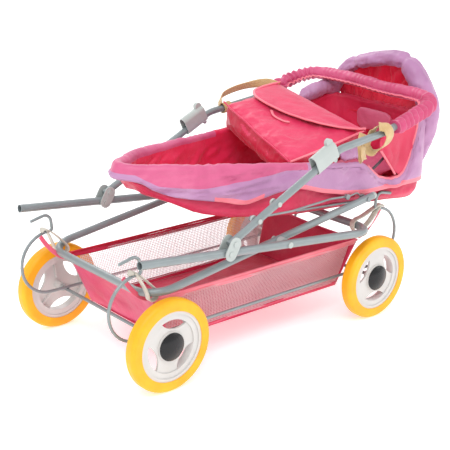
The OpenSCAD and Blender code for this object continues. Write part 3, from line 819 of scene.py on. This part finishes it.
def hood():
    """The collapsed hood: a thick rim that hides its bow, its skin, its lining and its side folds."""
    arch = [(398, 119, 338, 9), (406, 117, 366, 11), (412, 106, 391, 13), (415, 80, 411, 13),
            (416, 45, 423, 13), (416, 0, 432, 13.5), (415, -36, 434, 15), (414, -61, 422, 17),
            (415, -83, 398, 19), (416, -101, 368, 20), (416, -107, 338, 20), (411, -108, 310, 18),
            (405, -106, 284, 14), (399, -102, 258, 10), (395, -98, 238, 6)]
    line = smooth_line(arch, 170)
    width = line[:, 3]
    line = line[:, :3]
    fold = np.argmin(np.abs(line[:, 1] + 47) + 0.2 * np.abs(line[:, 2] - 428)) / 169
    t = np.linspace(0, 1, 170)[:, None]
    turn = np.linspace(0, 2 * math.pi, 26, endpoint=False)[None, :]
    fat = width - 5 * np.exp(-((t[:, 0] - fold) / 0.012) ** 2) - 3 * np.exp(-((t[:, 0] - 0.22) / 0.012) ** 2)
    s = t * 470
    shape = (2.2 * lump(s / 42, 1.2 * np.cos(turn), 1.2 * np.sin(turn), 2.0)
             + 2.4 * crease(s / 30, 1.6 * np.cos(turn), 1.6 * np.sin(turn), 5.0) - 0.6
             + 0.7 * crease(s / 9, 1.5 * np.cos(turn), 1.5 * np.sin(turn), 8.0))
    band = tube_mesh("hood_rim", line, fat, LILAC, 26, side=(1, 0, 0), flat=1.05, shape=shape)
    refine(band)
    apply_all(band)
    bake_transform(band)
    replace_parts(band, "hood_fabric", "hood_bow")
    inner = line[8:-48]
    n = len(inner)
    rings = 26
    grid = np.zeros((n, rings, 3))
    along = np.linspace(0, 1, n)
    foot = np.stack([403 + 0 * along, 112 - 212 * along, 318 + 0 * along], 1)
    s = np.linspace(0, 420, n)
    for k in range(rings):
        q = k / (rings - 1)
        place = inner * (1 - q) + foot * q
        fold = (5.0 * lump(s / 60, q * 2.2 + 0 * s, 0 * s, 17.0)
                + 5.0 * crease(s / 46 + 1.5 * q, q * 1.6 + 0 * s, 0 * s, 27.0)
                + 1.5 * crease(s / 17, q * 3 + 0 * s, 0 * s, 29.0) - 2)
        place[:, 0] += 15 * math.sin(math.pi * q) + fold * math.sin(math.pi * (0.08 + 0.9 * q))
        grid[:, k, :] = place
    gathered_skin("hood_lining", grid, HOOD_LIGHTENED_RED)
    grid[:, :, 0] += 5
    gathered_skin("hood_back", grid, LILAC)
    fold_line = smooth_line([(300, 116, 351), (330, 117, 356), (372, 117, 362), (408, 116, 358)], 60)
    q = np.linspace(0, 1, 60)[:, None]
    turn = np.linspace(0, 2 * math.pi, 20, endpoint=False)[None, :]
    shape = (2.5 * lump(q * 4, np.cos(turn), np.sin(turn), 41.0)
             + 1.2 * crease(q * 9, np.cos(turn), np.sin(turn), 43.0))
    fat = 13 * np.clip(np.minimum(q[:, 0], 1 - q[:, 0]) / 0.16 + 0.25, 0, 1)
    roll = tube_mesh("hood_side_fold", fold_line, fat, LILAC, 20, flat=1.1, shape=shape)
    refine(roll)
    apply_all(roll)
    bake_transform(roll)
    near_line = smooth_line([(176, -113, 301), (196, -114, 303), (220, -114, 301), (238, -113, 294)], 40)
    q = np.linspace(0, 1, 40)[:, None]
    shape = (2.2 * lump(q * 4, np.cos(turn), np.sin(turn), 44.0)
             + 1.2 * crease(q * 7, np.cos(turn), np.sin(turn), 47.0))
    fat = 12 * np.clip(np.minimum(q[:, 0], 1 - q[:, 0]) / 0.16 + 0.25, 0, 1)
    near_roll = tube_mesh("hood_side_fold_near", near_line, fat, LILAC, 20, flat=0.5, side=(0, 1, 0),
                          shape=shape)
    refine(near_roll)
    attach(near_roll, "carrycot")
    gusset()


def gusset():
    """The near side's folded gusset between the handle and the hood's rim, with its peach seam."""
    corners = {"a": (291, -117, 326), "b": (369, -119, 338), "c": (355, -122, 268), "d": (331, -121, 242),
               "e": (276, -116, 296)}
    top = smooth_line([corners["e"], (282, -112, 314), corners["a"], (330, -108, 334), corners["b"]], 40)
    low = smooth_line([corners["e"], (296, -119, 268), corners["d"], (346, -123, 250), corners["c"]], 40)
    grid = np.zeros((40, 24, 3))
    for k in range(24):
        q = k / 23
        grid[:, k, :] = top * (1 - q) + low * q
        s = np.linspace(0, 100, 40)
        fold = (3.0 * lump(s / 34, q * 1.5 + 0 * s, 0 * s, 51.0)
                + 2.0 * crease(s / 26 + q, q * 2 + 0 * s, 0 * s, 53.0))
        grid[:, k, 1] += fold * math.sin(math.pi * (0.1 + 0.8 * q)) - 4 * math.sin(math.pi * q)
    panel = grid_mesh("hood_gusset", grid, [GUSSET])
    solidify(panel, 0.0012, 0.0)
    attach(panel, "carrycot")
    line = smooth_line([corners["e"], (290, -121, 276), (314, -122, 247)], 30) + np.array([0, -1.5, 0])
    seam = tube_mesh("gusset_seam", line, 1.5, PEACH, 8, flat=1.5)
    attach(seam, "carrycot")
    strut_line = smooth_line([(252, -112, 256), (275, -112, 268), (300, -110, 281)], 16)
    strut = tube_mesh("hood_strut", strut_line, 3.2, DARK, 10, flat=0.5, side=(0, 1, 0))
    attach(strut, "carrycot")


# ---------------------------------------------------------------- bag

BAG_U = unit([165.0, 0, 21])
BAG_N = unit(np.cross(BAG_U, unit([-25.0, -220, -62])))
BAG_SIZE = (168.0, 222.0, 56.0)
# The slack top face's corners: far front, near front, near back and far back
BAG_CORNERS = [np.array(p, float) for p in ((93, 107, 372), (57, -110, 309), (241, -110, 338),
                                             (239, 107, 385))]


def on_bag(u, w, n):
    """A point of the slack bag in millimetres: u from its front edge, w from its far end, n below its top."""
    u, w, n = np.broadcast_arrays(np.asarray(u, float), np.asarray(w, float), np.asarray(n, float))
    a, b = (u / BAG_SIZE[0])[..., None], (w / BAG_SIZE[1])[..., None]
    far_front, near_front, near_back, far_back = BAG_CORNERS
    top = (far_front * (1 - a) + far_back * a) * (1 - b) + (near_front * (1 - a) + near_back * a) * b
    return top + n[..., None] * BAG_N


def bag():
    """A soft lofted bag: crowned faces, slack sides, a turned top edge, and a bound flap."""
    su, sw, sn = BAG_SIZE
    body = soft_box("bag", (0, 0, 0), (su - 4, sw - 3, sn - 3), BAG_CLOTH, round_to=11, crown=0.03, steps=24,
                    place=lambda c: on_bag(c[:, 0] + su / 2, c[:, 1] + sw / 2, c[:, 2] + sn / 2 + 1))
    puff(body, 2.0, 16, 0.003, 0.005)
    wrinkle(body, 0.0028, 0.055, 15.0)
    wrinkle(body, 0.0012, 0.022, 5.0)
    # Every face that does not face up takes the darker copy: painted shade on the bag's sides and bottom.
    body.data.materials.append(BAG_PAINTED_SHADE)
    down = Vector(BAG_N)
    for face in body.data.polygons:
        if face.normal.dot(down) > -0.55:
            face.material_index = 1
    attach(body, "bag")
    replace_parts(body, "bag_body")

    def top(u, w):
        """Height of the top face's crown, as a depth below the flat face."""
        a, b = np.asarray(u) / su * 2 - 1, np.asarray(w) / sw * 2 - 1
        return 1.5 - 4.5 * np.clip(1 - a ** 4, 0, 1) * np.clip(1 - b ** 4, 0, 1)

    edge = [(166, -1), (140, -2), (106, -1), (82, 6), (69, 24), (67, 50), (73, 84), (86, 122), (103, 158),
            (124, 188), (147, 212), (166, 223)]
    free = smooth_line(edge, 90)
    q = np.linspace(0, 1, 22)
    grid = np.zeros((90, 22, 3))
    for k, share in enumerate(q):
        u = free[:, 0] + (166 - free[:, 0]) * share
        w = free[:, 1]
        lift = top(u, w) - 3.2 - 1.6 * np.abs(lump(u / 26, w / 34, 0 * u, 61.0)) - 1.2 * (1 - share) ** 4
        lift = lift + 5.5 * share ** 8
        grid[:, k, :] = on_bag(u, w, lift)
    flap = grid_mesh("bag_flap_cloth", grid, [BAG_CLOTH])
    solidify(flap, 0.0018, 0.0)
    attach(flap, "bag_flap")
    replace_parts(flap, "bag_flap")
    binding = tube_mesh("flap_binding", grid[:, 0, :] - BAG_N * 0.4, 2.3, PEACH, 10, side=BAG_N, flat=0.8)
    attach(binding, "bag_flap")
    near = smooth_line([(2, 220.5), (60, 222), (110, 222), (165, 220.5)], 50)
    piping = tube_mesh("bag_piping_near", on_bag(near[:, 0], near[:, 1], 2.0), 1.9, PEACH, 10)
    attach(piping, "bag")
    front = smooth_line([(1.5, 3), (0, 60), (0, 150), (1.5, 219)], 60)
    depth = 2.5 + 0.8 * np.sin(np.linspace(0, 14, 60))
    ridge = tube_mesh("bag_seam_front", on_bag(front[:, 0], front[:, 1], depth), 1.5, BAG_CLOTH, 8)
    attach(ridge, "bag")
    pocket = on_bag(*smooth_line([(66, 78), (58, 96), (62, 118), (70, 128)], 24).T, -3.0)
    tab = ribbon_mesh("bag_pocket_edge", pocket, BAG_U, 5, 1.6, PEACH)
    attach(tab, "bag")


# ---------------------------------------------------------------- handle grip and webbing


def grip():
    """Gathered cloth over the crossbar: close ruffles along it and a scalloped seam underneath."""
    z0 = 347.5 + (388.5 - 347.5) * (277 - 225) / 150
    path = [(277, 169, z0), (325, 168, 375), (352, 160, 382), (368, 142, 387), (375, 112, 388.5),
            (375, 40, 388.5), (375, -40, 388.5), (375, -112, 388.5), (368, -142, 387), (352, -160, 382),
            (325, -168, 375), (252, -169, 355)]
    path = [(x - 3 * (y < 0), y, z - 3.5 * (y < 0)) for x, y, z in path]
    n = 620
    line = smooth_line(path, n)
    t = np.linspace(0, 1, n)[:, None]
    turn = np.linspace(0, 2 * math.pi, 28, endpoint=False)[None, :]
    s = t * 560
    beat = s / 13.0 + 1.8 * lump(s / 40, 0 * s, 0 * s, 3.0)
    gather = np.clip((np.abs(t - 0.47) - 0.25) / 0.08, 0, 1)
    tight = 0.22 + 0.2 * lump(s / 70, 0 * s, 0 * s, 71.0) + 1.35 * gather
    ruffle = np.sin(2 * math.pi * beat + 1.3 * np.sin(turn)
                    + 1.5 * lump(s / 40, np.cos(turn), np.sin(turn), 8.0))
    shape = (1.3 * tight * ruffle
             + 0.7 * crease(s / 40 + 0.4 * np.sin(turn), np.cos(turn), np.sin(turn), 19.0)
             + 1.2 * lump(s / 22, 1.4 * np.cos(turn), 1.4 * np.sin(turn), 12.0))
    cover = tube_mesh("grip_cover", line, 12, GRIP, 28, shape=shape, side=(0, 0, 1))
    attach(cover, "handle")
    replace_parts(cover, "handle_grip")
    ahead = unit(np.gradient(line, axis=0))
    inward = unit(np.array([150.0, 0, 330]) - line)
    inward = unit(inward - (inward * ahead).sum(1, keepdims=True) * ahead)
    root = line + inward * 11
    wave = np.sin(2 * math.pi * beat[:, 0])
    rows = []
    for k, reach in enumerate((0, 3.5, 7.0)):
        swing = np.cross(ahead, inward) * (wave * (0.5 + gather[:, 0]) * k / 2)[:, None]
        rows.append(root + inward * (reach + (0.4 + gather) * wave[:, None] * k / 2) + swing)
    lip = grid_mesh("grip_seam", np.stack(rows, 1), [GRIP])
    solidify(lip, 0.0014, 0.0)
    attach(lip, "handle")
    bind = tube_mesh("grip_binding", rows[2][24:-24], 1.3, PEACH, 8)
    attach(bind, "handle")


def webbing():
    """The bag's two carrying loops of tan webbing, round the handle legs and down to the bag."""
    near = [(204, -172, 361), (216, -179, 357), (226, -179, 343), (224, -172, 326), (208, -160, 314),
            (196, -154, 322), (198, -158, 338), (204, -160, 352), (206, -167, 360)]
    loop = ribbon_mesh("bag_loop_near", smooth_line(near, 90), (1, 0.05, 0.25), 21, 1.5, WEBBING)
    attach(loop, "handle")
    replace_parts(loop, "webbing_loops")
    tail = smooth_line([(176, -164, 330), (174, -166, 318), (184, -160, 305), (192, -150, 300),
                        (204, -134, 318), (226, -118, 334)], 50)
    strip = ribbon_mesh("bag_tail_near", tail, (1, 0.3, 0.4), 15, 1.4, WEBBING)
    tuple(row(tail[4]))
    tuple(row(tail[-1]))
    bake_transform(strip)
    far = smooth_line([(138, 166, 346), (146, 175, 356), (160, 177, 364), (186, 172, 372), (214, 160, 378),
                       (228, 132, 384), (232, 106, 381)], 70)
    arc = ribbon_mesh("bag_loop_far", far, (0.1, -0.5, 1), 16, 1.5, WEBBING)
    tuple(row(far[20]))
    tuple(row(far[-1]))
    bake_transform(arc)
    ring = [(180 + 9.4 * math.sin(a) * -0.1, 169 + 9.2 * math.cos(a), 342.2 + 9.2 * math.sin(a))
            for a in np.linspace(0, 2 * math.pi, 40)]
    ring = np.array(ring) + np.array([-25, 0, -3])
    hoop = ribbon_mesh("bag_hoop_far", ring, (1, 0, 0.12), 20, 1.5, WEBBING)
    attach(hoop, "handle")


# ---------------------------------------------------------------- basket


def net_panel(name, side):
    """Real net: a woven grid of thin cords between the hem and the floor, sagging a little."""
    radius = 0.5
    count_x, count_z = 118, 26
    x0, x1, s0, s1 = -214, 205, 0.08, 0.93
    verts, faces = [], []

    def place(a, b):
        x = x0 + (x1 - x0) * a
        slack = (-side * 3.0 * math.sin(math.pi * a) * math.sin(math.pi * b)
                 + 1.2 * noise.noise(Vector((a * 7, b * 3, side))))
        share = s0 + (s1 - s0) * b
        shift = (1 - share) * (34 * (0.5 - a))
        top_z = 138 + (7 if side > 0 else 0)
        return np.array([x + shift, side * (105 + 15 * share) + slack, 54 + (top_z - 54) * share])

    def strip(points):
        base = len(verts)
        points = np.array(points)
        ahead = unit(np.gradient(points, axis=0))
        out = np.array([0, side, 0.0])
        wide = unit(np.cross(ahead, out))
        for p, w in zip(points, wide):
            verts.extend([p + w * radius + out * 0.3, p - w * radius + out * 0.3,
                          p - w * radius * 0.4 - out * 0.35])
        for i in range(len(points) - 1):
            for k in range(3):
                a, b = base + 3 * i + k, base + 3 * i + (k + 1) % 3
                faces.append((a, b, b + 3, a + 3))

    for i in range(count_x + 1):
        strip([place(i / count_x, j / 8) for j in range(9)])
    for j in range(count_z + 1):
        strip([place(i / 60, j / count_z) for i in range(61)])
    net = make_mesh(name, verts, faces, [NET_NEAR if side < 0 else NET_FAR])
    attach(net, "chassis")
    return net


def basket():
    """Cloth ends, floor and hems of the shopping basket, with net sides."""
    for side, node in ((-1, "basket_mesh_right"), (1, "basket_mesh_left")):
        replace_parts(net_panel("basket_net_right" if side < 0 else "basket_net_left", side), node)
    far_z = 145

    def corner_line(share):
        """The basket's closed level line, from the floor (0) to the hem (1)."""
        e = 1 - share
        xr, xf = -235 + 35 * e, 225 - 35 * e
        w = 105 + 15 * share
        zn, zf = 54 + 84 * share, 54 + (far_z - 54) * share
        return [(xr, -w, zn), (xf, -w, zn), (xf, w, zf), (xr, w, zf)]

    def loft(name, edges, shares, material, bow, seed):
        """A cloth panel over one edge pair of the basket, bowed and creased."""
        i, j = edges
        is_rear, is_front = {i, j} == {0, 3}, {i, j} == {1, 2}
        inward = np.array([1.0, 0, 0] if is_rear else [-1.0, 0, 0] if is_front else [0, 1.0, 0])
        grid = []
        for share in shares:
            c = np.array(corner_line(share))
            p = np.array([c[i] * (1 - a) + c[j] * a for a in np.linspace(0, 1, 60)])
            a = np.linspace(0, 1, 60)
            dent = bow * np.sin(math.pi * a) * (0.4 + 0.6 * math.sin(math.pi * share))
            fold = (2.5 * lump(a * 5, share * 3 + 0 * a, 0 * a, seed)
                    + 1.6 * crease(a * 4 + share * 2, share * 4 + 0 * a, 0 * a, seed + 2))
            p = p + inward * (dent + fold * np.minimum(1, 6 * a * (1 - a)))[:, None]
            p[:, 2] -= 3.0 * np.sin(math.pi * a) * share
            grid.append(p)
        obj = grid_mesh(name, np.array(grid), [material])
        solidify(obj, 0.0012, 0.0)
        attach(obj, "chassis")
        return obj

    rear = loft("basket_end_rear", (3, 0), np.linspace(0, 1, 26), BASKET_PINK, 8, 81.0)
    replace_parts(rear, "basket_body")
    loft("basket_end_front", (1, 2), np.linspace(0, 1, 26), CRIMSON, 6, 83.0)
    for side, name, (i, j) in ((-1, "right", (0, 1)), (1, "left", (3, 2))):
        bow = 1.0 * -side
        hem_look, binding_look = (PEACH, PEACH) if side < 0 else (CRIMSON, DEEP)
        loft(f"basket_skirt_{name}", (i, j), np.linspace(0, 0.1, 6), CRIMSON, bow, 85.0 + side)
        loft(f"basket_hem_{name}", (i, j), np.linspace(0.91, 1.0, 6), hem_look, bow, 87.0 + side)
        top = np.array(corner_line(1.0))
        cord_line = [top[i] * (1 - a) + top[j] * a for a in np.linspace(0, 1, 60)]
        edge = tube_mesh(f"basket_binding_{name}", cord_line, 2.2, binding_look, 8)
        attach(edge, "chassis")
    for (i, j), tag in (((3, 0), "rear"), ((1, 2), "front")):
        c = np.array(corner_line(1.0))
        line = np.array([c[i] * (1 - a) + c[j] * a for a in np.linspace(0, 1, 40)])
        a = np.linspace(0, 1, 40)
        line[:, 2] -= 3.0 * np.sin(math.pi * a)
        line[:, 0] += (8 if tag == "rear" else -6) * np.sin(math.pi * a) * 0.4
        edge = tube_mesh(f"basket_binding_{tag}", line, 2.0, BASKET_PINK, 8)
        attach(edge, "chassis")
    n, m = 70, 34
    grid = np.zeros((n, m, 3))
    for a in range(n):
        for b in range(m):
            u, w = a / (n - 1), b / (m - 1)
            x = -200 + 390 * u
            y = -105 + 210 * w
            rim = min(1, 10 * u * (1 - u)) * min(1, 10 * w * (1 - w))
            swell = 2.5 * noise.noise(Vector((x / 70, y / 50, 3)))
            fold = 1.5 * (1 - 2 * abs(noise.noise(Vector((x / 45, y / 60, 9)))))
            z = 54 + rim * (swell + fold) + 1
            grid[a, b] = (x, y, z)
    base = grid_mesh("basket_floor", grid, [CRIMSON])
    solidify(base, 0.0016, 0.0)
    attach(base, "chassis")


# ---------------------------------------------------------------- straps and tapes


REAR_STRAP = [(-283, 128, 193), (-279, 125, 196), (-272, 127, 190), (-262, 130, 172), (-256, 131, 158),
              (-252, 130, 147), (-244, 128, 143), (-235, 126, 146), (-234, 124, 156), (-244, 122, 168),
              (-258, 121, 182), (-270, 122, 192), (-279, 123, 197), (-283, 125, 193)]
FRONT_STRAP = [(283, 127, 193), (277, 125, 196), (266, 126, 188), (246, 128, 172), (226, 128, 160),
               (213, 127, 158.5), (204.5, 126, 166), (206, 124, 175), (215, 123, 180), (232, 122, 182),
               (254, 122, 189), (272, 123, 195.5), (280, 124, 196), (283, 125, 193)]


def straps():
    """Rubbery suspension straps between the wires and the frame, and the tapes that hang the basket."""
    for side, name in ((-1, "right"), (1, "left")):
        for end, loop in (("rear", REAR_STRAP), ("front", FRONT_STRAP)):
            points = smooth_line([(x, side * y, z) for x, y, z in loop], 110)
            strap = ribbon_mesh(f"strap_band_{end}_{name}", points, (0, 1, 0), 12, 2.4, STRAP)
            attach(strap, "chassis")
            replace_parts(strap, f"strap_{end}_{name}")
        hem_z = 139 + (6 if side > 0 else 0)
        for sign, end in ((-1, "rear"), (1, "front")):
            tape = smooth_line([(sign * 290, side * 117, 187), (sign * 280, side * 117, 172),
                                (sign * 266, side * 116, 156), (sign * 250, side * 114, 144),
                                (sign * 236, side * 112, hem_z)], 50)
            band = ribbon_mesh(f"basket_tape_{end}_{name}", tape, (1, 0.15, 0.6), 8, 1.2, TAPE)
            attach(band, "chassis")
            if sign < 0 and side < 0:
                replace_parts(band, "basket_tapes")


cover, cover_grid, plan_line, plan_out, plan_reach = cot_cover()
cot_under(plan_line, plan_out, plan_reach)
cot_trims(cover_grid, plan_line)
cot_bedding()
hood()
bag()
grip()
webbing()
basket()
straps()
